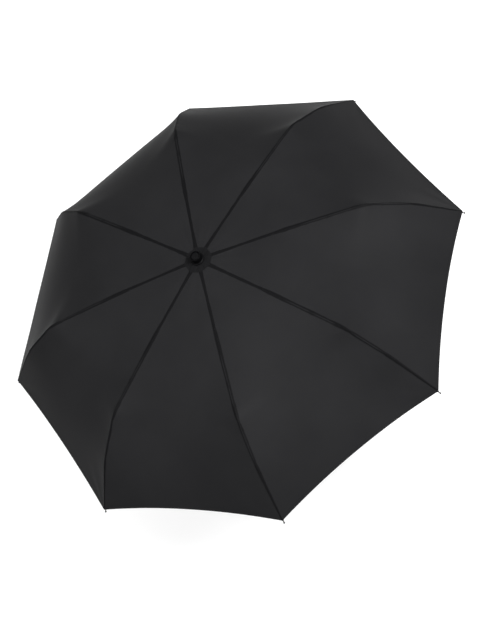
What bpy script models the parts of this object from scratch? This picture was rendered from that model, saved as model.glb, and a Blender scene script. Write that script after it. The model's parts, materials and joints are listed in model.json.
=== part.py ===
"""Folding umbrella, open: three telescoping tubes, eight three-fold ribs and one canopy.

Metres, +Z up along the shaft.  The origin is the centre of the handle's flat bottom and the
first rib points along +X.  The ribs hang from a slotted crown and are spread by stretchers
from a runner.  A stretcher is as long as its share of the upper rib, so the runner keeps
straight on the shaft while the ribs fold.
"""
import math

import bmesh
import bpy
import numpy as np
from mathutils import Matrix, Vector
from mathutils.geometry import convex_hull_2d

# ---------------------------------------------------------------- driving dimensions
RIB_COUNT = 8
FIT = 0.0003                    # gap between pieces that touch or slide
PLAY = 0.0004                   # gap beside a link in its slot
EDGE = 0.0008                   # bevel on a turned edge
CUT_PAST = 0.003                # a cutter reaches this far past what it cuts

CANOPY_ARC = 0.546              # apex to corner, along a rib
RIB_SLOPES = (3.8, 6.3, 34.8, 50.6)          # degrees below level, hub to corner
RIB_BENDS = ((0.168, 0.046), (0.332, 0.037), (0.425, 0.087))   # middle and length of each bend
GORE_ARC = 0.488                # apex to hem, halfway between two ribs
GORE_SLOPES = (3.1, 27.3, 48.7)
GORE_BENDS = ((0.220, 0.293), (0.390, 0.195))
CLOTH = 0.0006
APEX_HOLE_R = 0.006
ROSETTE_R = 0.030
ROSETTE_THICKNESS = 0.0005

PIVOT_RING_R = 0.012            # rib eyes round the crown, stretcher eyes round the runner
RING_WIRE_R = 0.0006
PIVOT_DEPTH = 0.0044            # crown pivot below the cloth
OPEN_SPREAD = 0.028             # crown pivot to runner pivot when open
STRETCHER_LENGTH = 0.084        # pivot to pivot, and the same along the upper rib
RIB_DEPTH = 0.0031              # top of the channel below the outside of the cloth
MIDDLE_RIB_LENGTH = 0.165       # hinge to hinge, along the rib
CHANNEL_W = 0.0036
CHANNEL_H = 0.0034
CHANNEL_WALL = 0.0006
EYE_R = 0.0017
EYE_HOLE_R = 0.0009
PIN_R = 0.0006
BLADE = 0.0014                  # thickness of the single plate in a hinge
CHEEK = 0.0007                  # thickness of each fork plate
RIVET_HEAD = 0.0002             # pin stands this far out of the fork
FOOT = 0.003                    # length of a plate's foot in its channel
LUG_HALF = 0.0045               # half the length of the stretcher's lug on the upper rib
EMBED = 0.0003                  # a plate's foot starts this far inside the channel's web
SKIRT = 0.0026                  # and reaches this far down between its walls
HINGE_OFFSET = 0.0007           # hinge axis beyond the channel's top or bottom
CHANNEL_END = 0.0024            # channel stops this far from a hinge
CLEVIS_REACH = 0.0045           # blade length before the channel at the crown and the runner
ROD_R = 0.0015
ROD_TILT = math.pi / 8          # turns the eight-sided rod's edges off the fork's planes
ROD_START = 0.008               # rod starts this far outside the knee hinge
ROD_SHORT = 0.003               # rod ends this far short of the corner
TIP_R = 0.0023
TIP_BALL_R = 0.0017
TIP_BACK = 0.011                # tip covers this much of the rod
TIP_OUT = 0.009                 # and reaches this far beyond the corner

TUBE_WALL = 0.0007
UPPER_TUBE_R = 0.007
UPPER_TUBE_LENGTH = 0.197
TUBE_STROKE = 0.140
TUBE_OVERLAP = 0.026
TUBE_STOP = 0.0018              # gap left under each tube when it is pushed in
CROWN_R = 0.014
CROWN_STEM_R = 0.005
CROWN_STEM_TOP = 0.011
CROWN_PLUG = 0.014
SOCKET_ABOVE_PIVOT = 0.001      # the tube's top seats this far above the crown's pivots
COLLAR_HEIGHT = 0.0032          # crown below its pivots, runner above its own
RUNNER_R = 0.0106
RUNNER_LENGTH = 0.029           # below the pivots
RUNNER_FLARE = 0.0018
SHOULDER_DEPTH = 0.0045         # slotted ring below the pivots
HOUSING_PROUD = 0.0036
HOUSING_WALL = 0.0023
POCKET_FLOOR = 0.0015
BUTTON_W, BUTTON_H = 0.0064, 0.0104
BUTTON_PROUD = 0.0012
BUTTON_TRAVEL = 0.0016
CAP_R = 0.011
CAP_BRIM_R = 0.0132
CAP_TOP = 0.016
CAP_BRIM = 0.0024
CAP_RIM = 0.0026                # width of the ring round the top
CAP_DISH = 0.0012               # depth of the flat inside it
HANDLE_LENGTH = 0.075
HANDLE_R = 0.0160
HANDLE_WAIST_R = 0.0145
GRIP_END = 0.002                # straight rise to full width at each end of the grip
END_CAP_HEIGHT = 0.004
END_CAP_SPIGOT = 0.003
COLLAR_R = 0.0118
COLLAR_LENGTH = 0.006
END_CAP_INSET = 0.0008          # end cap and collar stand this far inside the grip's edge
SPIGOT_R = 0.010

# ---------------------------------------------------------------- sizes that follow
MIDDLE_TUBE_R = UPPER_TUBE_R - TUBE_WALL - FIT
LOWER_TUBE_R = MIDDLE_TUBE_R - TUBE_WALL - FIT
LOWER_TUBE_Z0 = END_CAP_HEIGHT + END_CAP_SPIGOT + FIT
MIDDLE_TUBE_Z0 = HANDLE_LENGTH + TUBE_STOP + TUBE_STROKE
LOWER_TUBE_TOP = MIDDLE_TUBE_Z0 + TUBE_OVERLAP
UPPER_TUBE_Z0 = MIDDLE_TUBE_Z0 + TUBE_STOP + TUBE_STROKE
MIDDLE_TUBE_TOP = UPPER_TUBE_Z0 + TUBE_OVERLAP
UPPER_TUBE_TOP = UPPER_TUBE_Z0 + UPPER_TUBE_LENGTH


def smoothstep(x):
    x = np.clip(x, 0.0, 1.0)
    return x * x * (3.0 - 2.0 * x)


def slope_curve(arc, slopes, bends, steps=546):
    """Radius, height and slope at even steps of arc, from slopes joined by smooth bends."""
    s = np.linspace(0.0, arc, steps + 1)
    slope = np.full(s.shape, math.radians(slopes[0]))
    for before, after, (middle, length) in zip(slopes, slopes[1:], bends):
        slope += math.radians(after - before) * smoothstep((s - middle) / length + 0.5)
    mean = (slope[1:] + slope[:-1]) / 2
    step = arc / steps
    radius = np.concatenate([[0.0], np.cumsum(np.cos(mean)) * step])
    height = -np.concatenate([[0.0], np.cumsum(np.sin(mean)) * step])
    return s, radius, height, slope


RIB_CURVE = slope_curve(CANOPY_ARC, RIB_SLOPES, RIB_BENDS)
GORE_CURVE = slope_curve(GORE_ARC, GORE_SLOPES, GORE_BENDS)


def rib_point(s, depth=0.0):
    """Point in the rib's own plane (radius, height) at arc s, that far under the cloth."""
    arc, radius, height, slope = RIB_CURVE
    a = np.interp(s, arc, slope)
    at = Vector((np.interp(s, arc, radius), np.interp(s, arc, height)))
    return at - depth * Vector((math.sin(a), math.cos(a)))


def rib_slope(s):
    return float(np.interp(s, RIB_CURVE[0], RIB_CURVE[3]))


# Heights below are measured from the cloth's apex; APEX_Z puts them on the shaft.
CROWN_PIVOT = Vector((PIVOT_RING_R, rib_point(PIVOT_RING_R)[1] - PIVOT_DEPTH))
RUNNER_PIVOT = CROWN_PIVOT - Vector((0.0, OPEN_SPREAD))
CROWN_BOTTOM = CROWN_PIVOT[1] - COLLAR_HEIGHT
CROWN_TOP = rib_point(CROWN_R)[1] - CLOTH - FIT
SOCKET_TOP = CROWN_PIVOT[1] + SOCKET_ABOVE_PIVOT
APEX_Z = UPPER_TUBE_TOP + FIT - SOCKET_TOP
SPREAD_ANGLE = math.asin(OPEN_SPREAD / 2 / STRETCHER_LENGTH)
LUG = CROWN_PIVOT + STRETCHER_LENGTH * Vector((math.cos(SPREAD_ANGLE), -math.sin(SPREAD_ANGLE)))
UPPER_SLOPE, MIDDLE_SLOPE = (math.radians(a) for a in RIB_SLOPES[:2])
ELBOW_S = RIB_BENDS[0][0]
ELBOW = rib_point(ELBOW_S, RIB_DEPTH - HINGE_OFFSET)
MIDDLE_ALONG = Vector((math.cos(MIDDLE_SLOPE), -math.sin(MIDDLE_SLOPE)))
MIDDLE_UP = Vector((math.sin(MIDDLE_SLOPE), math.cos(MIDDLE_SLOPE)))
KNEE = ELBOW + MIDDLE_RIB_LENGTH * MIDDLE_ALONG - (CHANNEL_H + 2 * HINGE_OFFSET) * MIDDLE_UP
KNEE_S = ELBOW_S + MIDDLE_RIB_LENGTH

# ---------------------------------------------------------------- scene and collections
for item in list(bpy.data.objects):
    bpy.data.objects.remove(item, do_unlink=True)
UMBRELLA = bpy.data.collections.new("folding_umbrella")
CUTTERS = bpy.data.collections.new("umbrella_cutters")
bpy.context.scene.collection.children.link(UMBRELLA)
bpy.context.scene.collection.children.link(CUTTERS)


def material(name, colour, roughness, metallic=0.0):
    made = bpy.data.materials.new(name)
    made.use_nodes = True
    shader = made.node_tree.nodes["Principled BSDF"]
    shader.inputs["Base Color"].default_value = (*colour, 1.0)
    shader.inputs["Roughness"].default_value = roughness
    shader.inputs["Metallic"].default_value = metallic
    return made


BLACK_PONGEE = material("black_pongee", (0.020, 0.020, 0.022), 0.75)
BLACK_PLASTIC = material("black_moulded_plastic", (0.015, 0.015, 0.016), 0.40)
SOFT_PLASTIC = material("soft_touch_plastic", (0.018, 0.018, 0.019), 0.65)
BLACK_STEEL = material("black_enamelled_steel", (0.020, 0.020, 0.022), 0.38, 0.6)
PLATED_STEEL = material("plated_steel", (0.55, 0.55, 0.56), 0.28, 1.0)


def add(name, data, look, at=(0.0, 0.0, 0.0), turn=(0.0, 0.0, 0.0)):
    """One named sub-part, placed by its location and rotation."""
    piece = bpy.data.objects.new(name, data)
    piece.location = at
    piece.rotation_euler = turn
    if not data.materials:
        data.materials.append(look)
    UMBRELLA.objects.link(piece)
    return piece


def evaluated_mesh(piece, name):
    """The object's finished mesh in world space, with loose caps welded."""
    bpy.context.view_layer.update()
    graph = bpy.context.evaluated_depsgraph_get()
    mesh = bpy.data.meshes.new_from_object(piece.evaluated_get(graph))
    mesh.name = name
    mesh.transform(piece.matrix_world)
    shape = bmesh.new()
    shape.from_mesh(mesh)
    bmesh.ops.remove_doubles(shape, verts=shape.verts, dist=1e-6)
    bmesh.ops.recalc_face_normals(shape, faces=shape.faces)
    shape.to_mesh(mesh)
    shape.free()
    return mesh


def smooth(mesh, angle=35.0):
    mesh.shade_smooth()
    mesh.set_sharp_from_angle(angle=math.radians(angle))


# ---------------------------------------------------------------- shapes
PLATE_PLANE = Matrix(((1, 0, 0, 0), (0, 0, -1, 0), (0, 1, 0, 0), (0, 0, 0, 1)))


def ring_points(centre, radius, count=6):
    turns = (2 * math.pi * (i + 0.5) / count for i in range(count))
    return [centre + radius * Vector((math.cos(a), math.sin(a))) for a in turns]


def outline(points):
    return [points[i] for i in convex_hull_2d(points)]


def flat_solid(name, outlines, thickness, place):
    """A flat outline, with any holes, made solid; place turns and moves it."""
    curve = bpy.data.curves.new(name, "CURVE")
    curve.dimensions = "2D"
    curve.fill_mode = "BOTH"
    curve.extrude = thickness / 2
    for points in outlines:
        spline = curve.splines.new("POLY")
        spline.points.add(len(points) - 1)
        for dot, (x, y) in zip(spline.points, points):
            dot.co = (x, y, 0.0, 1.0)
        spline.use_cyclic_u = True
    drawn = bpy.data.objects.new(name, curve)
    CUTTERS.objects.link(drawn)
    drawn.matrix_world = place
    mesh = evaluated_mesh(drawn, name)
    bpy.data.objects.remove(drawn, do_unlink=True)
    bpy.data.curves.remove(curve)
    return mesh


def plate(eye, foot, thickness, hole, side=0.0):
    """A hinge plate: the hull of an eye and its foot, drilled through the eye."""
    shapes = [outline(ring_points(eye, EYE_R) + [Vector(p) for p in foot])]
    if hole:
        shapes.append(ring_points(eye, EYE_HOLE_R))
    place = Matrix.Translation((0.0, side, 0.0)) @ PLATE_PLANE
    return flat_solid("plate", shapes, thickness, place)


def fork(eye, foot):
    """Two cheeks either side of a plate, with the pin riveted between them."""
    side = BLADE / 2 + FIT + CHEEK / 2
    cheeks = [plate(eye, foot, CHEEK, False, s * side) for s in (-1, 1)]
    reach = 2 * (side + CHEEK / 2 + RIVET_HEAD)
    return cheeks + [cylinder(PIN_R, reach, (eye[0], 0.0, eye[1]), (math.pi / 2, 0, 0), 6)]


def channel(start, end, slope):
    """A U-section rib, open downwards, with its top along the line from start to end."""
    w, h, t = CHANNEL_W / 2, CHANNEL_H, CHANNEL_WALL
    section = [(-w, 0), (-w, -h), (t - w, -h), (t - w, -t), (w - t, -t), (w - t, -h), (w, -h), (w, 0)]
    middle = (start + end) / 2
    place = Matrix((
        (0, math.sin(slope), math.cos(slope), middle[0]),
        (1, 0, 0, 0),
        (0, math.cos(slope), -math.sin(slope), middle[1]),
        (0, 0, 0, 1),
    ))
    return flat_solid("channel", [section], (end - start).length, place)


def cylinder(radius, depth, at, turn=(0, 0, 0), segments=32):
    bpy.ops.mesh.primitive_cylinder_add(
        vertices=segments, radius=radius, depth=depth, location=at, rotation=turn)
    made = bpy.context.object
    mesh = evaluated_mesh(made, "cylinder")
    bpy.data.objects.remove(made, do_unlink=True)
    return mesh


def box(low, high, turn=0.0):
    """A block between two corners, then turned about the shaft."""
    bpy.ops.mesh.primitive_cube_add(size=1.0)
    made = bpy.context.object
    low, high = Vector(low), Vector(high)
    size = Matrix.Diagonal((*(high - low), 1.0))
    made.matrix_world = Matrix.Rotation(turn, 4, "Z") @ Matrix.Translation((low + high) / 2) @ size
    mesh = evaluated_mesh(made, "block")
    bpy.data.objects.remove(made, do_unlink=True)
    return mesh


def turned(name, profile, segments=32):
    """A profile (radius, height) from the axis or round a bore, spun about Z."""
    mesh = bpy.data.meshes.new(name)
    count = len(profile)
    closed = profile[0][0] > 1e-9
    edges = [(i, i + 1) for i in range(count - 1)] + ([(count - 1, 0)] if closed else [])
    mesh.from_pydata([(r, 0.0, z) for r, z in profile], edges, [])
    spun = bpy.data.objects.new(name, mesh)
    CUTTERS.objects.link(spun)
    screw = spun.modifiers.new("spin", "SCREW")
    screw.steps = screw.render_steps = segments
    screw.use_merge_vertices = True
    screw.merge_threshold = 1e-6
    made = evaluated_mesh(spun, name)
    bpy.data.objects.remove(spun, do_unlink=True)
    return made


def combined(name, base, others, operation="UNION"):
    """Joins the others to the base, or cuts them out of it, one after another."""
    body = bpy.data.objects.new(name, base)
    CUTTERS.objects.link(body)
    tools = []
    for i, mesh in enumerate(others):
        tool = bpy.data.objects.new(f"{name}_tool_{i}", mesh)
        tool.hide_render = True
        tool.display_type = "WIRE"
        CUTTERS.objects.link(tool)
        join = body.modifiers.new(f"{operation.lower()}_{i}", "BOOLEAN")
        join.operation = operation
        join.solver = "EXACT"
        join.object = tool
        tools.append(tool)
    mesh = evaluated_mesh(body, name)
    for item in [body, *tools]:
        bpy.data.objects.remove(item, do_unlink=True)
    return mesh


def about(mesh, pivot):
    """Moves a rib piece's mesh so that its object's origin is on the hinge axis."""
    mesh.transform(Matrix.Translation((-pivot[0], 0.0, -pivot[1])))
    smooth(mesh)
    return mesh


# ---------------------------------------------------------------- ribs
def upper_rib_mesh():
    """Channel from the crown eye to the elbow, with the stretcher's lug under it."""
    along = Vector((math.cos(UPPER_SLOPE), -math.sin(UPPER_SLOPE)))
    up = Vector((math.sin(UPPER_SLOPE), math.cos(UPPER_SLOPE)))
    start_s = PIVOT_RING_R + CLEVIS_REACH
    start = rib_point(start_s, RIB_DEPTH)
    end = start + (ELBOW_S - CHANNEL_END - start_s) * along
    web, skirt = -EMBED * up, -SKIRT * up
    crown_foot = [start + FOOT * along + web, start + FOOT * along + skirt]
    lug_top = start + along * ((LUG - start).dot(along))
    lug_foot = [lug_top + side * LUG_HALF * along + drop for side in (-1, 1) for drop in (web, skirt)]
    elbow_foot = [end - FOOT * along + web, end - EMBED * along + skirt]
    return combined("upper_rib", channel(start, end, UPPER_SLOPE), [
        plate(CROWN_PIVOT, crown_foot, BLADE, True),
        plate(LUG, lug_foot, BLADE, True),
        plate(ELBOW, elbow_foot, BLADE, True),
    ])


def stretcher_mesh():
    """Channel from the runner eye out to the fork that holds the upper rib's lug."""
    slope = -SPREAD_ANGLE
    along = Vector((math.cos(slope), -math.sin(slope)))
    up = Vector((math.sin(slope), math.cos(slope)))
    top = CHANNEL_H / 2 * up
    start = RUNNER_PIVOT + CLEVIS_REACH * along + top
    end = LUG - CLEVIS_REACH * along + top
    web, skirt = -EMBED * up, -SKIRT * up
    eye_foot = [start + FOOT * along + web, start + FOOT * along + skirt]
    fork_foot = [end - FOOT * along + 2 * web, end - FOOT * along + skirt]
    return combined("stretcher", channel(start, end, slope),
                    [plate(RUNNER_PIVOT, eye_foot, BLADE, True), *fork(LUG, fork_foot)])


def middle_rib_mesh():
    """Channel with a fork over its top at the elbow and a blade under it at the knee."""
    along, up = MIDDLE_ALONG, MIDDLE_UP
    start = ELBOW + CHANNEL_END * along - HINGE_OFFSET * up
    end = ELBOW + (MIDDLE_RIB_LENGTH - CHANNEL_END) * along - HINGE_OFFSET * up
    web, skirt = -EMBED * up, -SKIRT * up
    elbow_foot = [start + FOOT * along + web, start + EMBED * along + skirt]
    knee_foot = [end - 2 * FOOT * along + web, end - EMBED * along + 2 * web]
    return combined("middle_rib", channel(start, end, MIDDLE_SLOPE),
                    [*fork(ELBOW, elbow_foot), plate(KNEE, knee_foot, BLADE, True)])


def outer_rib_mesh():
    """Curved round rod with a fork at the knee."""
    rod_s = np.linspace(KNEE_S + ROD_START, CANOPY_ARC - ROD_SHORT, 8)
    route = [rib_point(s, RIB_DEPTH + ROD_R) for s in rod_s]
    curve = bpy.data.curves.new("rod", "CURVE")
    curve.dimensions = "3D"
    curve.bevel_depth = ROD_R
    curve.bevel_resolution = 2
    curve.use_fill_caps = True
    spline = curve.splines.new("POLY")
    spline.points.add(len(route) - 1)
    for dot, at in zip(spline.points, route):
        dot.co = (at[0], 0.0, at[1], 1.0)
        dot.tilt = ROD_TILT
    drawn = bpy.data.objects.new("rod", curve)
    CUTTERS.objects.link(drawn)
    rod = evaluated_mesh(drawn, "rod")
    bpy.data.objects.remove(drawn, do_unlink=True)
    bpy.data.curves.remove(curve)
    first = (route[1] - route[0]).normalized()
    across = Vector((first[1], -first[0]))
    foot = [route[0] + FOOT / 2 * first + side * ROD_R / 2 * across for side in (-1, 1)]
    foot.append(route[0] + 2 * FOOT * first + EMBED * across)
    return combined("outer_rib", rod, fork(KNEE, foot))


def tip_mesh():
    """Turned ferrule: a socket over the rod, a slim neck and a rounded end; +Z points out."""
    neck_r = 0.6 * TIP_R
    socket_r = ROD_R + FIT
    floor = -ROD_SHORT + 2 * FIT
    ball = [(TIP_BALL_R * math.sin(a), TIP_OUT - TIP_BALL_R * (1 - math.cos(a)))
            for a in (0.0, 0.8, 1.57)]
    profile = ball + [(neck_r, TIP_OUT - 1.6 * TIP_BALL_R), (neck_r, neck_r), (TIP_R, -neck_r),
                      (TIP_R, -TIP_BACK), (socket_r, -TIP_BACK), (socket_r, floor), (0.0, floor)]
    mesh = turned("rib_tip", profile, 10)
    smooth(mesh)
    return mesh


def place_ribs():
    """The five pieces of each rib, every one on its own hinge axis."""
    upper = about(upper_rib_mesh(), CROWN_PIVOT)
    stretcher = about(stretcher_mesh(), LUG)
    middle = about(middle_rib_mesh(), ELBOW)
    outer = about(outer_rib_mesh(), KNEE)
    tip = tip_mesh()
    corner = rib_point(CANOPY_ARC, RIB_DEPTH + ROD_R)
    tip_tilt = math.pi / 2 + rib_slope(CANOPY_ARC)
    for i in range(RIB_COUNT):
        turn = 2 * math.pi * i / RIB_COUNT
        rows = (("upper_rib", upper, CROWN_PIVOT, BLACK_STEEL), ("stretcher", stretcher, LUG, BLACK_STEEL),
                ("middle_rib", middle, ELBOW, BLACK_STEEL), ("outer_rib", outer, KNEE, BLACK_STEEL))
        for name, mesh, pivot, look in rows:
            at = (pivot[0] * math.cos(turn), pivot[0] * math.sin(turn), APEX_Z + pivot[1])
            add(f"{name}_{i + 1}", mesh, look, at, (0.0, 0.0, turn))
        at = (corner[0] * math.cos(turn), corner[0] * math.sin(turn), APEX_Z + corner[1])
        add(f"rib_tip_{i + 1}", tip, PLATED_STEEL, at, (0.0, tip_tilt, turn))


# ---------------------------------------------------------------- canopy and rosette
def bend_arcs():
    """Arcs along a rib where the cloth needs a row: closely through the bends."""
    arcs = [0.5 * RIB_BENDS[0][0], 0.5 * (RIB_BENDS[0][0] + RIB_BENDS[1][0])]
    for (middle, length), before, after in zip(RIB_BENDS, RIB_SLOPES, RIB_SLOPES[1:]):
        steps = 4 if after - before > 10.0 else 2
        arcs += list(np.linspace(middle - length / 2, middle + length / 2, steps + 1))
    return arcs


def gore_surface(radius_from, radius_to, columns, lift):
    """Eight cloth gores in one ring.  Across each gore a row is the straight line between its
    two ribs plus a parabola that reaches the gore's own slope curve in the middle.  Rows share
    out both curves evenly from the apex hole to the hem."""
    ends = [np.interp(r, RIB_CURVE[1], RIB_CURVE[0]) for r in (radius_from, radius_to)]
    inner_arcs = [s for s in bend_arcs() if ends[0] < s < ends[1] - 0.01]
    last_gap = (max(inner_arcs + [ends[0]]) + ends[1]) / 2
    rib_s = np.array(sorted([*ends, *inner_arcs, last_gap]))
    rib_hole, gore_hole = (np.interp(APEX_HOLE_R, c[1], c[0]) for c in (RIB_CURVE, GORE_CURVE))
    share = (rib_s - rib_hole) / (CANOPY_ARC - rib_hole)
    gore_s = gore_hole + share * (GORE_ARC - gore_hole)
    rows = len(rib_s) - 1
    rib_r = np.interp(rib_s, RIB_CURVE[0], RIB_CURVE[1])
    rib_z = np.interp(rib_s, RIB_CURVE[0], RIB_CURVE[2])
    mid_r = np.interp(gore_s, GORE_CURVE[0], GORE_CURVE[1])
    mid_z = np.interp(gore_s, GORE_CURVE[0], GORE_CURVE[2])
    half = math.pi / RIB_COUNT
    v = np.linspace(-1.0, 1.0, columns + 1)[:-1]
    bulge = 1.0 - v ** 2
    out = rib_r[:, None] * math.cos(half) + (mid_r - rib_r * math.cos(half))[:, None] * bulge
    side = rib_r[:, None] * math.sin(half) * v
    up = rib_z[:, None] + (mid_z - rib_z)[:, None] * bulge + lift
    verts = []
    for row in range(rows + 1):
        for gore in range(RIB_COUNT):
            turn = (2 * gore + 1) * half
            x = out[row] * math.cos(turn) - side[row] * math.sin(turn)
            y = out[row] * math.sin(turn) + side[row] * math.cos(turn)
            verts += list(zip(x, y, up[row] + APEX_Z))
    around = RIB_COUNT * columns
    faces = []
    for row in range(rows):
        for i in range(around):
            a, b = row * around + i, row * around + (i + 1) % around
            faces.append((a, a + around, b + around, b))
    return verts, faces


def cloth_piece(name, verts, faces, thickness, offset):
    mesh = bpy.data.meshes.new(name)
    mesh.from_pydata(verts, [], faces)
    smooth(mesh, 60.0)
    piece = add(name, mesh, BLACK_PONGEE)
    wall = piece.modifiers.new("cloth_thickness", "SOLIDIFY")
    wall.thickness = thickness
    wall.offset = offset
    return piece


def canopy():
    """One stretched sheet over all eight ribs, open at the apex for the crown's stem."""
    verts, faces = gore_surface(APEX_HOLE_R, RIB_CURVE[1][-1], 4, 0.0)
    cloth_piece("canopy", verts, faces, CLOTH, -1.0)


def rosette():
    """Eight-sided cloth patch under the cap."""
    verts, faces = gore_surface(APEX_HOLE_R, ROSETTE_R, 2, FIT)
    cloth_piece("crown_rosette", verts, faces, ROSETTE_THICKNESS, 1.0)


# ---------------------------------------------------------------- crown, runner and cap
def ring_slots(low, high):
    """Radial slots for the eyes of eight links."""
    inner = PIVOT_RING_R - EYE_R - PLAY
    half = BLADE / 2 + PLAY
    return [box((inner, -half, low), (CROWN_R + CUT_PAST, half, high), 2 * math.pi * i / RIB_COUNT)
            for i in range(RIB_COUNT)]


def wire_groove(pivot_z):
    """Groove round the outside that holds the ring wire."""
    inner, outer, half = PIVOT_RING_R - EYE_HOLE_R, CROWN_R + CUT_PAST, EYE_HOLE_R
    return turned("groove", [(outer, pivot_z + half), (outer, pivot_z - half),
                             (inner, pivot_z - half), (inner, pivot_z + half)], 32)


def ring_wire(name, pivot_z):
    bpy.ops.mesh.primitive_torus_add(
        major_radius=PIVOT_RING_R, minor_radius=RING_WIRE_R, major_segments=32, minor_segments=5,
        location=(0.0, 0.0, pivot_z))
    made = bpy.context.object
    mesh = evaluated_mesh(made, name)
    bpy.data.objects.remove(made, do_unlink=True)
    smooth(mesh)
    add(name, mesh, PLATED_STEEL)


def crown():
    """Notched hub: a stem up through the cloth, a slotted rim and a plug inside the tube."""
    z = APEX_Z
    pivot_z = z + CROWN_PIVOT[1]
    socket_r = UPPER_TUBE_R + FIT
    plug_r = UPPER_TUBE_R - TUBE_WALL - FIT
    socket_z = z + SOCKET_TOP
    profile = [(0.0, z + CROWN_STEM_TOP), (CROWN_STEM_R - EDGE, z + CROWN_STEM_TOP),
               (CROWN_STEM_R, z + CROWN_STEM_TOP - EDGE), (CROWN_STEM_R, z + CROWN_TOP),
               (CROWN_R, z + CROWN_TOP), (CROWN_R, z + CROWN_BOTTOM), (socket_r, z + CROWN_BOTTOM),
               (socket_r, socket_z), (plug_r, socket_z), (plug_r, socket_z - CROWN_PLUG),
               (0.0, socket_z - CROWN_PLUG)]
    slot_top = pivot_z + EYE_R + FIT
    cuts = [wire_groove(pivot_z)] + ring_slots(z + CROWN_BOTTOM - CUT_PAST, slot_top)
    mesh = combined("crown", turned("crown", profile, 32), cuts, "DIFFERENCE")
    smooth(mesh)
    add("crown", mesh, BLACK_PLASTIC)
    ring_wire("crown_wire", pivot_z)


def runner():
    """Slotted ring, sleeve and button housing that slide on the upper tube."""
    pivot_z = APEX_Z + RUNNER_PIVOT[1]
    top = pivot_z + COLLAR_HEIGHT
    bottom = pivot_z - RUNNER_LENGTH
    bore = UPPER_TUBE_R + FIT
    shoulder = pivot_z - SHOULDER_DEPTH
    skirt_r = RUNNER_R + RUNNER_FLARE
    profile = [(bore, bottom), (skirt_r - EDGE, bottom), (skirt_r, bottom + EDGE),
               (skirt_r, bottom + RUNNER_FLARE), (RUNNER_R, bottom + 3 * RUNNER_FLARE),
               (RUNNER_R, shoulder - SHOULDER_DEPTH / 2), (CROWN_R, shoulder), (CROWN_R, top), (bore, top)]
    slot_low = pivot_z - EYE_R - PLAY
    button_z = (shoulder + bottom) / 2 - EDGE
    face_x = RUNNER_R + HOUSING_PROUD
    side, end = BUTTON_W / 2 + HOUSING_WALL, BUTTON_H / 2 + HOUSING_WALL
    housing = box((bore + EDGE, -side, button_z - end), (face_x, side, button_z + end))
    sleeve = combined("runner", turned("runner", profile, 32), [housing])
    floor_x = bore + POCKET_FLOOR
    pocket = box((floor_x, -BUTTON_W / 2 - FIT, button_z - BUTTON_H / 2 - FIT),
                 (face_x + CUT_PAST, BUTTON_W / 2 + FIT, button_z + BUTTON_H / 2 + FIT))
    cuts = [wire_groove(pivot_z)] + ring_slots(slot_low, top + CUT_PAST) + [pocket]
    mesh = combined("runner", sleeve, cuts, "DIFFERENCE")
    smooth(mesh)
    add("runner", mesh, BLACK_PLASTIC)
    ring_wire("runner_wire", pivot_z)
    inner_x = floor_x + FIT + BUTTON_TRAVEL
    button = box((inner_x, -BUTTON_W / 2, button_z - BUTTON_H / 2),
                 (face_x + BUTTON_PROUD, BUTTON_W / 2, button_z + BUTTON_H / 2))
    piece = add("runner_button", button, BLACK_PLASTIC)
    edge = piece.modifiers.new("soft_edges", "BEVEL")
    edge.width = EDGE / 2
    edge.segments = 2


def cap():
    """Flat-topped ferrule with a rim round its top and a brim on the rosette."""
    z = APEX_Z
    base = z + FIT + ROSETTE_THICKNESS + FIT
    socket_r = CROWN_STEM_R + FIT
    socket_top = z + CROWN_STEM_TOP + FIT
    top = z + CAP_TOP
    rim_r = CAP_R - CAP_RIM
    profile = [(0.0, top - CAP_DISH), (rim_r - CAP_DISH / 2, top - CAP_DISH), (rim_r, top),
               (CAP_R - EDGE, top), (CAP_R, top - EDGE), (CAP_R, base + 1.6 * CAP_BRIM),
               (CAP_BRIM_R, base + CAP_BRIM), (CAP_BRIM_R, base), (socket_r, base),
               (socket_r, socket_top), (0.0, socket_top)]
    mesh = turned("ferrule_cap", profile, 28)
    smooth(mesh)
    add("ferrule_cap", mesh, BLACK_PLASTIC)


# ---------------------------------------------------------------- shaft and handle
def tube(name, radius, low, high, look):
    inner = radius - TUBE_WALL
    mesh = turned(name, [(inner, high), (radius, high), (radius, low), (inner, low)], 28)
    smooth(mesh)
    add(name, mesh, look)


def shaft():
    tube("lower_tube", LOWER_TUBE_R, LOWER_TUBE_Z0, LOWER_TUBE_TOP, PLATED_STEEL)
    tube("middle_tube", MIDDLE_TUBE_R, MIDDLE_TUBE_Z0, MIDDLE_TUBE_TOP, PLATED_STEEL)
    tube("upper_tube", UPPER_TUBE_R, UPPER_TUBE_Z0, UPPER_TUBE_TOP, BLACK_STEEL)


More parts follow.
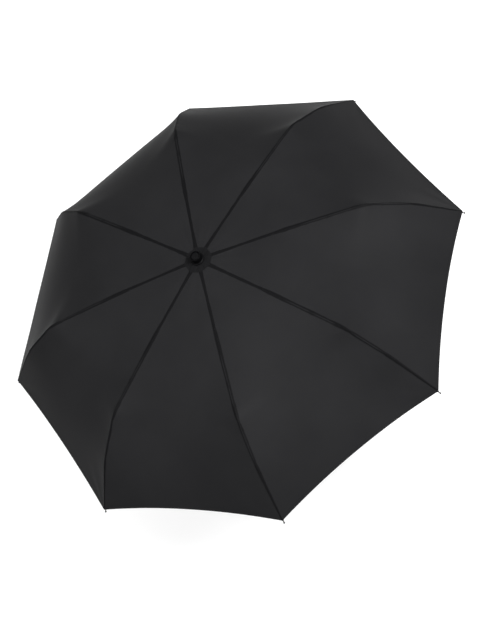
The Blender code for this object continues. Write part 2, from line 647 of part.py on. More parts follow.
def handle():
    """Waisted grip, closed below by a flat end cap and above by a collar round the tube."""
    bore = LOWER_TUBE_R + FIT
    base = END_CAP_HEIGHT + FIT
    top = HANDLE_LENGTH - COLLAR_LENGTH - FIT
    end_r = HANDLE_R - END_CAP_INSET
    recess_r, recess_top = SPIGOT_R + FIT, LOWER_TUBE_Z0
    waist = [(HANDLE_R + (HANDLE_WAIST_R - HANDLE_R) * math.sin(math.pi * t) ** 2,
              top - GRIP_END - (top - base - 2 * GRIP_END) * t) for t in np.linspace(0.0, 1.0, 8)]
    profile = [(bore, top), (end_r, top)] + waist
    profile += [(end_r, base), (recess_r, base), (recess_r, recess_top), (bore, recess_top)]
    mesh = turned("handle_grip", profile, 28)
    smooth(mesh)
    add("handle_grip", mesh, SOFT_PLASTIC)
    spigot_top = END_CAP_HEIGHT + END_CAP_SPIGOT
    cap_profile = [(0.0, spigot_top), (SPIGOT_R, spigot_top), (SPIGOT_R, END_CAP_HEIGHT),
                   (end_r, END_CAP_HEIGHT), (end_r, EDGE), (end_r - EDGE, 0.0), (0.0, 0.0)]
    mesh = turned("handle_end_cap", cap_profile, 28)
    smooth(mesh)
    add("handle_end_cap", mesh, BLACK_PLASTIC)
    low = HANDLE_LENGTH - COLLAR_LENGTH
    collar = [(bore, HANDLE_LENGTH), (COLLAR_R - 2 * EDGE, HANDLE_LENGTH),
              (COLLAR_R, HANDLE_LENGTH - 2 * EDGE), (end_r, low + EDGE), (end_r, low), (bore, low)]
    mesh = turned("handle_collar", collar, 28)
    smooth(mesh)
    add("handle_collar", mesh, BLACK_PLASTIC)


handle()
shaft()
crown()
runner()
cap()
rosette()
canopy()
place_ribs()
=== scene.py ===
"""Looks of the folding umbrella: cloth, seams, fittings, finishes, studio and camera.

Metres, +Z up along the shaft, first rib along +X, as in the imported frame.
"""
import json
import math

import bmesh
import bpy
import numpy as np
from mathutils import Matrix, Vector


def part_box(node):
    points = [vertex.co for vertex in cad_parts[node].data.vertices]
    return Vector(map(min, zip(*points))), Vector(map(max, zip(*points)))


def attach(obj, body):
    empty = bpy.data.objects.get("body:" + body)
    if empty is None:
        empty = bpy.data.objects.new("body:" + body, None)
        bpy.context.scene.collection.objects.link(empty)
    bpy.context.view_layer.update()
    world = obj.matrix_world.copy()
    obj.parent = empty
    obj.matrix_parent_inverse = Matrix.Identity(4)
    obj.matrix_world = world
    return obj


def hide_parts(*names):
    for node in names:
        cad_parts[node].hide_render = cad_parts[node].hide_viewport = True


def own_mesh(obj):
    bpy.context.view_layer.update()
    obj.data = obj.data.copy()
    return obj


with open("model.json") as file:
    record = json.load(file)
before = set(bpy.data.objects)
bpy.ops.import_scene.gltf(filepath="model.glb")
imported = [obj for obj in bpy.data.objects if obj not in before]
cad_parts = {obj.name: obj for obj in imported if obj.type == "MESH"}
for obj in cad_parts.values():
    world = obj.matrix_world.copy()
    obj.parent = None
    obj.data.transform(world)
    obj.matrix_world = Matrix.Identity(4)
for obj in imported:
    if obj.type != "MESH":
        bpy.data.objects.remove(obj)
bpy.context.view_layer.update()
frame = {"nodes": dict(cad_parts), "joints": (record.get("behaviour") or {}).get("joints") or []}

# ---------------------------------------------------------------- sizes of the cut and the ribs
RIBS = 8
HALF = math.pi / RIBS                        # half the angle of one gore
CANOPY_ARC = 0.546                           # apex to corner along a rib
RIB_SLOPES = (3.8, 6.3, 34.8, 50.6)          # degrees below level, hub to corner
RIB_BENDS = ((0.168, 0.046), (0.332, 0.037), (0.425, 0.087))
GORE_ARC = 0.488                             # apex to hem halfway between two ribs
GORE_SLOPES = (3.1, 27.3, 48.7)
GORE_BENDS = ((0.220, 0.293), (0.390, 0.195))
APEX_HOLE_R = 0.006
CLOTH = 0.0004
RIB_DEPTH = 0.0031                           # top of a rib below the outside of the cloth
ROD_R = 0.0015
CHANNEL_W, CHANNEL_H = 0.0036, 0.0034
CAP_TOP = 0.016
CAP_R, CAP_BRIM_R = 0.011, 0.0132
APEX_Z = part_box("ferrule_cap")[1].z - CAP_TOP

JOINTS = {joint["name"]: joint for joint in frame["joints"]}


def hinge_at(name):
    """Radius and height of a hinge of the first rib."""
    x, _, z = JOINTS[name]["pos_m"]
    return x, z


CROWN_PIVOT = hinge_at("rib_fold_1")
ELBOW = hinge_at("elbow_fold_1")
KNEE = hinge_at("knee_fold_1")


# ---------------------------------------------------------------- the cloth's surface
def smoothstep(x):
    x = np.clip(x, 0.0, 1.0)
    return x * x * (3.0 - 2.0 * x)


def slope_curve(arc, slopes, bends, steps=1092):
    """Arc, radius, height and slope: slopes joined by smooth bends, summed along the arc."""
    s = np.linspace(0.0, arc, steps + 1)
    slope = np.full(s.shape, math.radians(slopes[0]))
    for before, after, (middle, length) in zip(slopes, slopes[1:], bends):
        slope += math.radians(after - before) * smoothstep((s - middle) / length + 0.5)
    mean = (slope[1:] + slope[:-1]) / 2
    radius = np.concatenate([[0.0], np.cumsum(np.cos(mean)) * arc / steps])
    height = -np.concatenate([[0.0], np.cumsum(np.sin(mean)) * arc / steps])
    return s, radius, height, slope


RIB_CURVE = slope_curve(CANOPY_ARC, RIB_SLOPES, RIB_BENDS)
GORE_CURVE = slope_curve(GORE_ARC, GORE_SLOPES, GORE_BENDS)
RIB_HOLE = float(np.interp(APEX_HOLE_R, RIB_CURVE[1], RIB_CURVE[0]))
GORE_HOLE = float(np.interp(APEX_HOLE_R, GORE_CURVE[1], GORE_CURVE[0]))


def rib_line(s, depth=0.0):
    """Radius and height on a rib at arc s, that far under the cloth."""
    arc, radius, height, slope = RIB_CURVE
    a = np.interp(s, arc, slope)
    return (np.interp(s, arc, radius) - depth * np.sin(a),
            np.interp(s, arc, height) + APEX_Z - depth * np.cos(a))


def gore_point(u, v):
    """Cloth in one gore's own frame (out, side, up), u from apex hole to hem, v from -1 on one
    rib to +1 on the next: the straight line between the ribs plus a parabola that reaches the
    gore's own slope curve in the middle."""
    rib_s = RIB_HOLE + u * (CANOPY_ARC - RIB_HOLE)
    gore_s = GORE_HOLE + u * (GORE_ARC - GORE_HOLE)
    rib_r = np.interp(rib_s, RIB_CURVE[0], RIB_CURVE[1])
    rib_z = np.interp(rib_s, RIB_CURVE[0], RIB_CURVE[2])
    mid_r = np.interp(gore_s, GORE_CURVE[0], GORE_CURVE[1])
    mid_z = np.interp(gore_s, GORE_CURVE[0], GORE_CURVE[2])
    bulge = 1.0 - v ** 2
    out = rib_r * math.cos(HALF) + (mid_r - rib_r * math.cos(HALF)) * bulge
    side = rib_r * math.sin(HALF) * v
    return out, side, rib_z + (mid_z - rib_z) * bulge + APEX_Z


def turned(out, side, up, angle):
    """A gore's own frame turned about the shaft, as rows of x, y, z."""
    c, s = math.cos(angle), math.sin(angle)
    return np.stack([out * c - side * s, out * s + side * c, up], axis=-1)


def waves(x, y, seed, pitch, count=7):
    """Soft uneven ripple from -1 to 1: a sum of sines in random directions about one pitch."""
    draw = np.random.default_rng(seed)
    total = np.zeros(np.broadcast(x, y).shape)
    for _ in range(count):
        turn, phase = draw.uniform(0.0, 2 * math.pi, 2)
        length = pitch * draw.uniform(0.7, 1.6)
        along = math.cos(turn) * x + math.sin(turn) * y
        total = total + np.sin(2 * math.pi * along / length + phase)
    return total / count


# Painted shadow of the rib and its seam, seen through the cloth along each rib: arc along the rib,
# half width, and how open its middle is, where the shadow parts in two and the seam's ridge is
# grooved.
BAND = ((0.000, 0.0052, 0.0), (0.040, 0.0040, 0.0), (0.080, 0.0032, 0.0), (0.150, 0.0036, 0.0),
        (0.172, 0.0050, 0.0), (0.200, 0.0048, 0.0), (0.222, 0.0044, 1.0), (0.252, 0.0044, 1.0),
        (0.262, 0.0048, 0.2), (0.272, 0.0044, 1.0), (0.302, 0.0042, 1.0), (0.312, 0.0050, 0.0),
        (0.334, 0.0046, 0.0), (0.346, 0.0030, 0.0), (0.362, 0.0042, 1.0), (0.402, 0.0042, 1.0),
        (0.420, 0.0032, 0.0), (0.430, 0.0042, 0.0), (0.455, 0.0034, 0.0), (0.510, 0.0026, 0.0),
        (0.546, 0.0018, 0.0))
WIDEST_BAND = max(row[1] for row in BAND)
RIDGE_OVER_BAND = 1.1                        # the raised ridge is wider than the dark band
TIES = (0.150, 0.262, 0.352, 0.430, 0.500)   # arcs where the cloth is tied to the rib
HEM = 0.006                                  # folded and stitched edge


def band_at(rib_s):
    """Half width of the ridge, and how open the band is, at an arc along the rib."""
    arc, width, gap = np.array(BAND).T
    return RIDGE_OVER_BAND * np.interp(rib_s, arc, width), np.interp(rib_s, arc, gap)


RIDGE_H, PARTING_H = 0.00050, 0.00030        # seam over the rib, and the groove where it parts
KNOT_H, KNOT_R = 0.0006, 0.0032
PUCKER_H, PUCKER_PITCH, PUCKER_REACH = 0.00040, 0.013, 0.011
FAN_H, FAN_PITCH = 0.0006, 0.60              # folds at the crown
SPOKE_H = 0.0003                             # folds at the corners
SLOW_H, SLOW_PITCH = 0.0007, 0.16            # unevenness between the ribs
HEM_H = 0.00035


def from_hem(u):
    """Arc from the hem, halfway between two ribs."""
    return (1.0 - u) * (GORE_ARC - GORE_HOLE)


def relief(gore, u, v):
    """How far the cloth stands proud of its smooth surface, in metres: a low ridge where the
    seam passes over the rib, parted where rib and wire lie side by side, small knots at the
    ties, puckers that run from the seam, folds that fan out from the crown and from each
    corner, the hem's second layer, and a slow unevenness between them."""
    out, side, _ = gore_point(u, v)
    rib_s = RIB_HOLE + u * (CANOPY_ARC - RIB_HOLE)
    from_rib = np.hypot(out, side) * HALF * (1.0 - np.abs(v))
    rib = np.where(v < 0, gore, (gore + 1) % RIBS)
    width, gap = band_at(rib_s)
    seam = RIDGE_H * (1.0 - smoothstep(from_rib / (1.3 * width)))
    seam = seam - PARTING_H * gap * np.exp(-(from_rib / (0.3 * width)) ** 2)
    knots = sum(np.exp(-((rib_s - at) / KNOT_R) ** 2) for at in TIES)
    seam = seam + KNOT_H * knots * np.exp(-(from_rib / KNOT_R) ** 2)
    pucker = waves(rib_s, rib * 3.7, 11, PUCKER_PITCH) * np.exp(-(from_rib / PUCKER_REACH) ** 2)
    pucker = pucker * (1.0 - np.exp(-(from_rib / 0.0015) ** 2)) * PUCKER_H
    radius = np.hypot(out, side)
    fan = waves(v * 0.9 + gore * 5.3, radius * 0.9, 23, FAN_PITCH)
    fan = fan * FAN_H * np.exp(-((radius - 0.060) / 0.045) ** 2) * (1.0 - v ** 8)
    corner_out = (1.0 - u) * CANOPY_ARC
    corner = np.hypot(corner_out, from_rib)
    spokes = np.sin(9.0 * np.arctan2(from_rib, corner_out + 0.004) + 1.7 * rib)
    spokes = spokes * SPOKE_H * np.exp(-((corner - 0.050) / 0.035) ** 2)
    spokes = spokes * smoothstep(from_rib / 0.006)
    slow = waves(out + gore * 1.9, side, 37, SLOW_PITCH) * SLOW_H * (1.0 - v ** 4)
    hem = HEM_H * (1.0 - smoothstep((from_hem(u) - HEM) / 0.0012 + 0.5))
    return seam + pucker + fan + spokes + slow * smoothstep(u / 0.15) + hem


def cloth_point(gore, u, v):
    """Finished outside of the cloth: the smooth surface, moved up by its relief."""
    out, side, up = gore_point(u, v)
    return turned(out, side, up + relief(gore, u, v), (2 * gore + 1) * HALF)


def cloth_normal(gore, u, v):
    """Unit normal, from the cross product of small steps along u and v."""
    step_u, step_v = 0.0015, 0.006
    edge = 1.0 - 1e-6
    v0, v1 = np.clip(v - step_v, -edge, edge), np.clip(v + step_v, -edge, edge)
    u0, u1 = np.clip(u - step_u, 0.0, 1.0), np.clip(u + step_u, 0.0, 1.0)
    along = cloth_point(gore, u1, v) - cloth_point(gore, u0, v)
    across = cloth_point(gore, u, v1) - cloth_point(gore, u, v0)
    normal = np.cross(along, across)
    return normal / np.linalg.norm(normal, axis=-1, keepdims=True)


# ---------------------------------------------------------------- mesh building
def grid_faces(rows, columns, start=0, flip=False):
    """Quads of a grid of rows x columns points, numbered row by row from start."""
    i = np.arange(rows - 1)[:, None] * columns + np.arange(columns - 1)[None, :] + start
    quads = np.stack([i, i + columns, i + columns + 1, i + 1], axis=-1).reshape(-1, 4)
    return quads[:, ::-1] if flip else quads


def mesh_from(name, points, faces):
    """A smooth-shaded mesh from whole arrays of points and quads."""
    mesh = bpy.data.meshes.new(name)
    mesh.from_pydata(np.asarray(points, float).reshape(-1, 3), [], np.asarray(faces).tolist())
    mesh.update()
    mesh.shade_smooth()
    return mesh


def piece_from(name, mesh, finish):
    piece = bpy.data.objects.new(name, mesh)
    bpy.context.scene.collection.objects.link(piece)
    mesh.materials.append(finish)
    return piece


def set_point_values(mesh, name, values):
    attribute = mesh.attributes.new(name, "FLOAT", "POINT")
    attribute.data.foreach_set("value", np.asarray(values, np.float32).ravel())


def revolved(name, profile, sides=72, matrix=None, crease=None):
    """A profile of (radius, height) points spun about Z, closed where it leaves the axis."""
    profile = np.asarray(profile, float)
    turn = np.linspace(0.0, 2 * math.pi, sides, endpoint=False)
    ring = np.stack([np.cos(turn), np.sin(turn)], axis=-1)
    r, z = profile[:, 0], profile[:, 1]
    points = np.concatenate([r[:, None, None] * ring[None], np.broadcast_to(
        z[:, None, None], (len(r), sides, 1))], axis=-1).reshape(-1, 3)
    i = np.arange(len(r) - 1)[:, None] * sides
    a, b = np.arange(sides), (np.arange(sides) + 1) % sides
    faces = np.stack([i + a, i + b, i + sides + b, i + sides + a], axis=-1).reshape(-1, 4)
    mesh = mesh_from(name, points, faces)
    return finish_mesh(mesh, matrix, crease)


def finish_mesh(mesh, matrix=None, crease=None):
    """Welds poles and seams, turns the faces outwards, and places the mesh."""
    shape = bmesh.new()
    shape.from_mesh(mesh)
    bmesh.ops.remove_doubles(shape, verts=shape.verts, dist=1e-7)
    bmesh.ops.dissolve_degenerate(shape, edges=shape.edges, dist=1e-8)
    bmesh.ops.recalc_face_normals(shape, faces=shape.faces)
    shape.to_mesh(mesh)
    shape.free()
    if matrix is not None:
        mesh.transform(matrix)
    mesh.shade_smooth()
    if crease is not None:
        mesh.set_sharp_from_angle(angle=math.radians(crease))
    return mesh


def rounded(profile, radius, steps=4):
    """The profile with every corner but its two ends rounded to about that radius."""
    points = [Vector(p) for p in profile]
    made = [points[0]]
    for before, at, after in zip(points, points[1:], points[2:]):
        back, on = before - at, after - at
        reach = min(radius, back.length * 0.45, on.length * 0.45)
        start, end = at + back.normalized() * reach, at + on.normalized() * reach
        for t in np.linspace(0.0, 1.0, steps + 1):
            made.append(start * (1 - t) ** 2 + at * (2 * t * (1 - t)) + end * t ** 2)
    made.append(points[-1])
    return [tuple(p) for p in made]


def swept(name, path, radius, sides):
    """A round wire along a path: rings square to the path, capped at both ends."""
    path = np.asarray(path, float)
    step = np.gradient(path, axis=0)
    step /= np.linalg.norm(step, axis=1, keepdims=True)
    helper = np.where(np.abs(step[:, 2:3]) < 0.9, [[0.0, 0.0, 1.0]], [[1.0, 0.0, 0.0]])
    one = np.cross(step, helper)
    one /= np.linalg.norm(one, axis=1, keepdims=True)
    two = np.cross(step, one)
    turn = np.linspace(0.0, 2 * math.pi, sides, endpoint=False)
    rings = path[:, None] + radius * (np.cos(turn)[None, :, None] * one[:, None]
                                      + np.sin(turn)[None, :, None] * two[:, None])
    last = (len(path) - 1) * sides
    i = np.arange(len(path) - 1)[:, None] * sides
    a, b = np.arange(sides), (np.arange(sides) + 1) % sides
    faces = np.stack([i + a, i + b, i + sides + b, i + sides + a], axis=-1).reshape(-1, 4).tolist()
    faces += [list(range(sides))[::-1], [last + side for side in range(sides)]]
    mesh = bpy.data.meshes.new(name)
    mesh.from_pydata(rings.reshape(-1, 3), [], faces)
    return finish_mesh(mesh, crease=50)


# ---------------------------------------------------------------- finishes
def linear(hex_colour):
    """sRGB hex to linear RGBA."""
    parts = [int(hex_colour[i:i + 2], 16) / 255 for i in (0, 2, 4)]
    return [c / 12.92 if c <= 0.04045 else ((c + 0.055) / 1.055) ** 2.4 for c in parts] + [1.0]


def add_node(tree, kind, settings=None, links=None):
    """One node; settings are its properties or sockets, links map a socket to an output."""
    node = tree.nodes.new(kind)
    for key, value in (settings or {}).items():
        if isinstance(key, str) and hasattr(node, key):
            setattr(node, key, value)
        else:
            node.inputs[key].default_value = value
    for key, output in (links or {}).items():
        tree.links.new(output, node.inputs[key])
    return node


def new_finish(name, **sockets):
    """An empty material with its shader; sockets are constants on the shader."""
    finish = bpy.data.materials.new(name)
    finish.use_nodes = True
    tree = finish.node_tree
    shader = tree.nodes["Principled BSDF"]
    for key, value in sockets.items():
        shader.inputs[key.replace("_", " ")].default_value = value
    return finish, tree, shader


def band_ramp(tree, along, column, top):
    """A ramp along the rib that holds one column of BAND, as a share of top."""
    ramp = add_node(tree, "ShaderNodeValToRGB", links={"Fac": along})
    stops = ramp.color_ramp.elements
    for i, row in enumerate(BAND):
        at = row[0] / CANOPY_ARC
        stop = stops[i] if i < 2 else stops.new(at)
        stop.position = at
        stop.color = (row[column] / top, row[column] / top, row[column] / top, 1.0)
    return ramp.outputs["Color"]


def maths(tree, operation, *values):
    """One Math node; each value is a number or an output."""
    node = add_node(tree, "ShaderNodeMath", {"operation": operation})
    for i, value in enumerate(values):
        if isinstance(value, (int, float)):
            node.inputs[i].default_value = value
        else:
            tree.links.new(value, node.inputs[i])
    return node.outputs["Value"]


WAVE_UNIT = 2 * math.pi / 20.0               # a wave texture of this scale repeats once a metre


def weave_height(tree, flat, thread):
    """Plain weave: two crossed sets of waves one thread apart."""
    sets = []
    for turn in (0.0, math.pi / 2):
        lie = add_node(tree, "ShaderNodeMapping", {"Rotation": (0.0, 0.0, turn)}, {"Vector": flat})
        wave = add_node(tree, "ShaderNodeTexWave",
                        {"Scale": WAVE_UNIT / thread, "Distortion": 0.5, "Detail": 1.0,
                         "Detail Scale": 2.0}, {"Vector": lie.outputs["Vector"]})
        sets.append(wave.outputs["Fac"])
    return maths(tree, "MULTIPLY", *sets)


def pongee(name, with_rib_shadow):
    """Black polyester pongee, plain weave: deep black and nearly without gloss.  Cloth with the rib
    shadow carries a painted shadow of each rib and its seam, and a dark stitched line at the hem."""
    finish, tree, shader = new_finish(name, Specular_IOR_Level=0.03)
    place = add_node(tree, "ShaderNodeTexCoord").outputs["Object"]
    flat = add_node(tree, "ShaderNodeUVMap", {"uv_map": "cut"}).outputs["UV"]
    slow = add_node(tree, "ShaderNodeTexNoise", {"Scale": 6.0, "Detail": 3.0, "Roughness": 0.55},
                    {"Vector": place}).outputs["Fac"]
    tone = add_node(tree, "ShaderNodeValToRGB", links={"Fac": slow})
    tone.color_ramp.elements[0].position, tone.color_ramp.elements[1].position = 0.32, 0.70
    tone.color_ramp.elements[0].color = linear("171718" if with_rib_shadow else "0e0e0f")
    tone.color_ramp.elements[1].color = linear("1b1b1c" if with_rib_shadow else "111112")
    colour = tone.outputs["Color"]
    if with_rib_shadow:
        # painted shadow of each rib and its seam: a band along the rib with ragged edges
        ragged = add_node(tree, "ShaderNodeTexNoise", {"Scale": 55.0, "Detail": 2.0},
                          {"Vector": place}).outputs["Fac"]
        drift = add_node(tree, "ShaderNodeTexNoise", {"Scale": 9.0, "Detail": 1.0},
                         {"Vector": place}).outputs["Fac"]
        split = add_node(tree, "ShaderNodeSeparateXYZ", links={"Vector": flat})
        shift = maths(tree, "MULTIPLY_ADD", drift, 0.03, -0.015)
        along = maths(tree, "ADD", split.outputs["Y"], shift)
        along = maths(tree, "DIVIDE", along, CANOPY_ARC)
        width = maths(tree, "MULTIPLY", band_ramp(tree, along, 1, WIDEST_BAND), WIDEST_BAND)
        wander = maths(tree, "MULTIPLY_ADD", ragged, 0.0018, -0.0009)
        across = maths(tree, "ADD", maths(tree, "ABSOLUTE", split.outputs["X"]), wander)
        inside = maths(tree, "DIVIDE", maths(tree, "SUBTRACT", width, across), 0.0009)
        solid = add_node(tree, "ShaderNodeClamp",
                         links={"Value": maths(tree, "ADD", inside, 0.5)}).outputs["Result"]
        off_middle = maths(tree, "ABSOLUTE", maths(tree, "SUBTRACT", split.outputs["X"], 0.0005))
        middle = add_node(tree, "ShaderNodeMapRange",
                          {"From Min": 0.0005, "From Max": 0.0016, "To Min": 0.75, "To Max": 0.0},
                          {"Value": off_middle}).outputs["Result"]
        parted = maths(tree, "MULTIPLY", middle, band_ramp(tree, along, 2, 1.0))
        dark = maths(tree, "MULTIPLY", solid, maths(tree, "SUBTRACT", 1.0, parted))
        hem = add_node(tree, "ShaderNodeAttribute", {"attribute_name": "from_hem"}).outputs["Fac"]
        stitched = add_node(tree, "ShaderNodeMapRange",
                            {"From Min": 0.0, "From Max": 0.0009, "To Min": 0.45, "To Max": 0.0},
                            {"Value": maths(tree, "ABSOLUTE", maths(tree, "SUBTRACT", hem, HEM))})
        dark = maths(tree, "MAXIMUM", dark, stitched.outputs["Result"])
        # the painted rib shadow and the hem's stitched line, mixed in as a darker black
        shadow_and_stitch = add_node(tree, "ShaderNodeMix", {"data_type": "RGBA"}, {0: dark, 6: colour})
        shadow_and_stitch.inputs[7].default_value = linear("0c0c0d")
        colour = shadow_and_stitch.outputs[2]
    tree.links.new(colour, shader.inputs["Base Color"])
    rough = add_node(tree, "ShaderNodeMapRange", {"To Min": 0.50, "To Max": 0.60}, {"Value": slow})
    tree.links.new(rough.outputs["Result"], shader.inputs["Roughness"])
    thread = 0.0011                          # much coarser than real cloth, so that it shows
    bump = add_node(tree, "ShaderNodeBump", {"Strength": 0.30, "Distance": 0.00012},
                    {"Height": weave_height(tree, flat if with_rib_shadow else place, thread)})
    tree.links.new(bump.outputs["Normal"], shader.inputs["Normal"])
    return finish


def moulded_abs(name, low, high, gloss):
    """Black ABS, injection moulded with a fine spark-eroded grain: an even satin gloss."""
    finish, tree, shader = new_finish(name, Specular_IOR_Level=gloss)
    place = add_node(tree, "ShaderNodeTexCoord")
    grain = add_node(tree, "ShaderNodeTexNoise", {"Scale": 2600.0, "Detail": 2.0},
                     {"Vector": place.outputs["Object"]})
    cloud = add_node(tree, "ShaderNodeTexNoise", {"Scale": 120.0, "Detail": 2.0},
                     {"Vector": place.outputs["Object"]})
    tone = add_node(tree, "ShaderNodeValToRGB", links={"Fac": cloud.outputs["Fac"]})
    tone.color_ramp.elements[0].color = linear(low)
    tone.color_ramp.elements[1].color = linear(high)
    tree.links.new(tone.outputs["Color"], shader.inputs["Base Color"])
    rough = add_node(tree, "ShaderNodeMapRange", {"To Min": 0.46, "To Max": 0.58},
                     {"Value": cloud.outputs["Fac"]})
    tree.links.new(rough.outputs["Result"], shader.inputs["Roughness"])
    bump = add_node(tree, "ShaderNodeBump", {"Strength": 0.15, "Distance": 0.00005},
                    {"Height": grain.outputs["Fac"]})
    tree.links.new(bump.outputs["Normal"], shader.inputs["Normal"])
    return finish


def soft_touch():
    """Soft-touch polyurethane paint over plastic: deep black, no sharp highlight."""
    finish, tree, shader = new_finish("soft_touch_paint", IOR=1.48, Sheen_Weight=0.02,
                                      Sheen_Roughness=0.5)
    place = add_node(tree, "ShaderNodeTexCoord")
    cloud = add_node(tree, "ShaderNodeTexNoise", {"Scale": 60.0, "Detail": 4.0},
                     {"Vector": place.outputs["Object"]})
    tone = add_node(tree, "ShaderNodeValToRGB", links={"Fac": cloud.outputs["Fac"]})
    tone.color_ramp.elements[0].color = linear("0f0f10")
    tone.color_ramp.elements[1].color = linear("141415")
    tree.links.new(tone.outputs["Color"], shader.inputs["Base Color"])
    rough = add_node(tree, "ShaderNodeMapRange", {"To Min": 0.52, "To Max": 0.68},
                     {"Value": cloud.outputs["Fac"]})
    tree.links.new(rough.outputs["Result"], shader.inputs["Roughness"])
    fine = add_node(tree, "ShaderNodeTexNoise", {"Scale": 1800.0, "Detail": 1.0},
                    {"Vector": place.outputs["Object"]})
    bump = add_node(tree, "ShaderNodeBump", {"Strength": 0.12, "Distance": 0.00004},
                    {"Height": fine.outputs["Fac"]})
    tree.links.new(bump.outputs["Normal"], shader.inputs["Normal"])
    return finish


def enamelled_steel():
    """Rolled steel strip under baked black enamel: glossy, slightly orange-peeled."""
    finish, tree, shader = new_finish("black_baked_enamel_on_steel", IOR=1.5, Coat_Weight=0.3,
                                      Coat_Roughness=0.18)
    place = add_node(tree, "ShaderNodeTexCoord")
    peel = add_node(tree, "ShaderNodeTexNoise", {"Scale": 900.0, "Detail": 1.0},
                    {"Vector": place.outputs["Object"]})
    worn = add_node(tree, "ShaderNodeTexNoise", {"Scale": 140.0, "Detail": 4.0},
                    {"Vector": place.outputs["Object"]})
    tone = add_node(tree, "ShaderNodeValToRGB", links={"Fac": worn.outputs["Fac"]})
    tone.color_ramp.elements[0].position, tone.color_ramp.elements[1].position = 0.42, 0.78
    tone.color_ramp.elements[0].color = linear("161617")
    tone.color_ramp.elements[1].color = linear("2a2a2c")
    tree.links.new(tone.outputs["Color"], shader.inputs["Base Color"])
    rough = add_node(tree, "ShaderNodeMapRange", {"To Min": 0.26, "To Max": 0.46},
                     {"Value": worn.outputs["Fac"]})
    tree.links.new(rough.outputs["Result"], shader.inputs["Roughness"])
    bump = add_node(tree, "ShaderNodeBump", {"Strength": 0.2, "Distance": 0.00004},
                    {"Height": peel.outputs["Fac"]})
    tree.links.new(bump.outputs["Normal"], shader.inputs["Normal"])
    return finish


def nickel_plate():
    """Bright nickel plate on drawn steel tube: a mirror softened by fine lengthwise lines."""
    finish, tree, shader = new_finish("bright_nickel_plate", Metallic=1.0)
    place = add_node(tree, "ShaderNodeTexCoord")
    lie = add_node(tree, "ShaderNodeMapping", {"Scale": (1.0, 1.0, 0.02)},
                   {"Vector": place.outputs["Object"]})
    drawn = add_node(tree, "ShaderNodeTexNoise", {"Scale": 1500.0, "Detail": 2.0},
                     {"Vector": lie.outputs["Vector"]})
    tone = add_node(tree, "ShaderNodeValToRGB", links={"Fac": drawn.outputs["Fac"]})
    tone.color_ramp.elements[0].color = linear("9c9d9e")
    tone.color_ramp.elements[1].color = linear("b6b6b5")
    tree.links.new(tone.outputs["Color"], shader.inputs["Base Color"])
    rough = add_node(tree, "ShaderNodeMapRange", {"To Min": 0.16, "To Max": 0.30},
                     {"Value": drawn.outputs["Fac"]})
    tree.links.new(rough.outputs["Result"], shader.inputs["Roughness"])
    bump = add_node(tree, "ShaderNodeBump", {"Strength": 0.08, "Distance": 0.00003},
                    {"Height": drawn.outputs["Fac"]})
    tree.links.new(bump.outputs["Normal"], shader.inputs["Normal"])
    return finish


def sewing_thread():
    """Black bonded polyester thread: matt, with the twist just showing as a fine ripple."""
    finish, tree, shader = new_finish("bonded_polyester_thread", Roughness=0.72,
                                      Specular_IOR_Level=0.35, Sheen_Weight=0.15)
    place = add_node(tree, "ShaderNodeTexCoord").outputs["Object"]
    twist = add_node(tree, "ShaderNodeTexNoise", {"Scale": 1400.0, "Detail": 2.0},
                     {"Vector": place})
    tone = add_node(tree, "ShaderNodeValToRGB", links={"Fac": twist.outputs["Fac"]})
    tone.color_ramp.elements[0].color = linear("0e0e0f")
    tone.color_ramp.elements[1].color = linear("222224")
    tree.links.new(tone.outputs["Color"], shader.inputs["Base Color"])
    bump = add_node(tree, "ShaderNodeBump", {"Strength": 0.4, "Distance": 0.0001},
                    {"Height": twist.outputs["Fac"]})
    tree.links.new(bump.outputs["Normal"], shader.inputs["Normal"])
    return finish


# canopy cloth, carrying the painted shadow of the ribs and seams
PONGEE = pongee("pongee_painted_rib_shadow", True)
PATCH_CLOTH = pongee("pongee_patch_cloth", False)
ABS = moulded_abs("moulded_abs", "040405", "070708", 0.05)
# lighter black for the cap's top disc: painted light on the flat top, beside the darker rim
MATT_ABS_PAINTED_LIGHT = moulded_abs("matt_abs_disc_painted_light", "0b0b0c", "0e0e0f", 0.02)
SOFT_TOUCH = soft_touch()
ENAMEL = enamelled_steel()
NICKEL = nickel_plate()
THREAD = sewing_thread()


# ---------------------------------------------------------------- canopy
def border_share(v, radius):
    """The share u where the plane square to the rib at that radius cuts the gore, for each v
    of the half on the v = +1 side."""
    shares = np.linspace(0.0, 1.0, 1401)
    found = np.empty(len(v))
    for i, at in enumerate(v):
        out, side, _ = gore_point(shares, np.full(shares.shape, at))
        found[i] = np.interp(radius, out * math.cos(HALF) + side * math.sin(HALF), shares)
    return found


CELL_V = 44                                  # cells across half a gore
FINER_AT_RIB = 1.7                           # power that narrows the cells towards the rib
CELLS_U = {"centre": 4, "inner": 54, "middle": 60, "outer": 76}


def half_gore(gore, side_sign, part):
    """Grid of u and v over one half of a gore, from one border to the next."""
    across = 1.0 - np.linspace(1.0, 0.0, CELL_V + 1) ** FINER_AT_RIB
    borders = {"centre": (0.0, CROWN_PIVOT[0]), "inner": (CROWN_PIVOT[0], ELBOW[0]),
               "middle": (ELBOW[0], KNEE[0]), "outer": (KNEE[0], None)}
    low, high = borders[part]
    first = border_share(across, low) if low else np.zeros(CELL_V + 1)
    last = border_share(across, high) if high else np.ones(CELL_V + 1)
    t = np.linspace(0.0, 1.0, CELLS_U[part] + 1)[:, None]
    u = first[None, :] + t * (last - first)[None, :]
    v = np.broadcast_to(across * side_sign, u.shape)
    return u, v


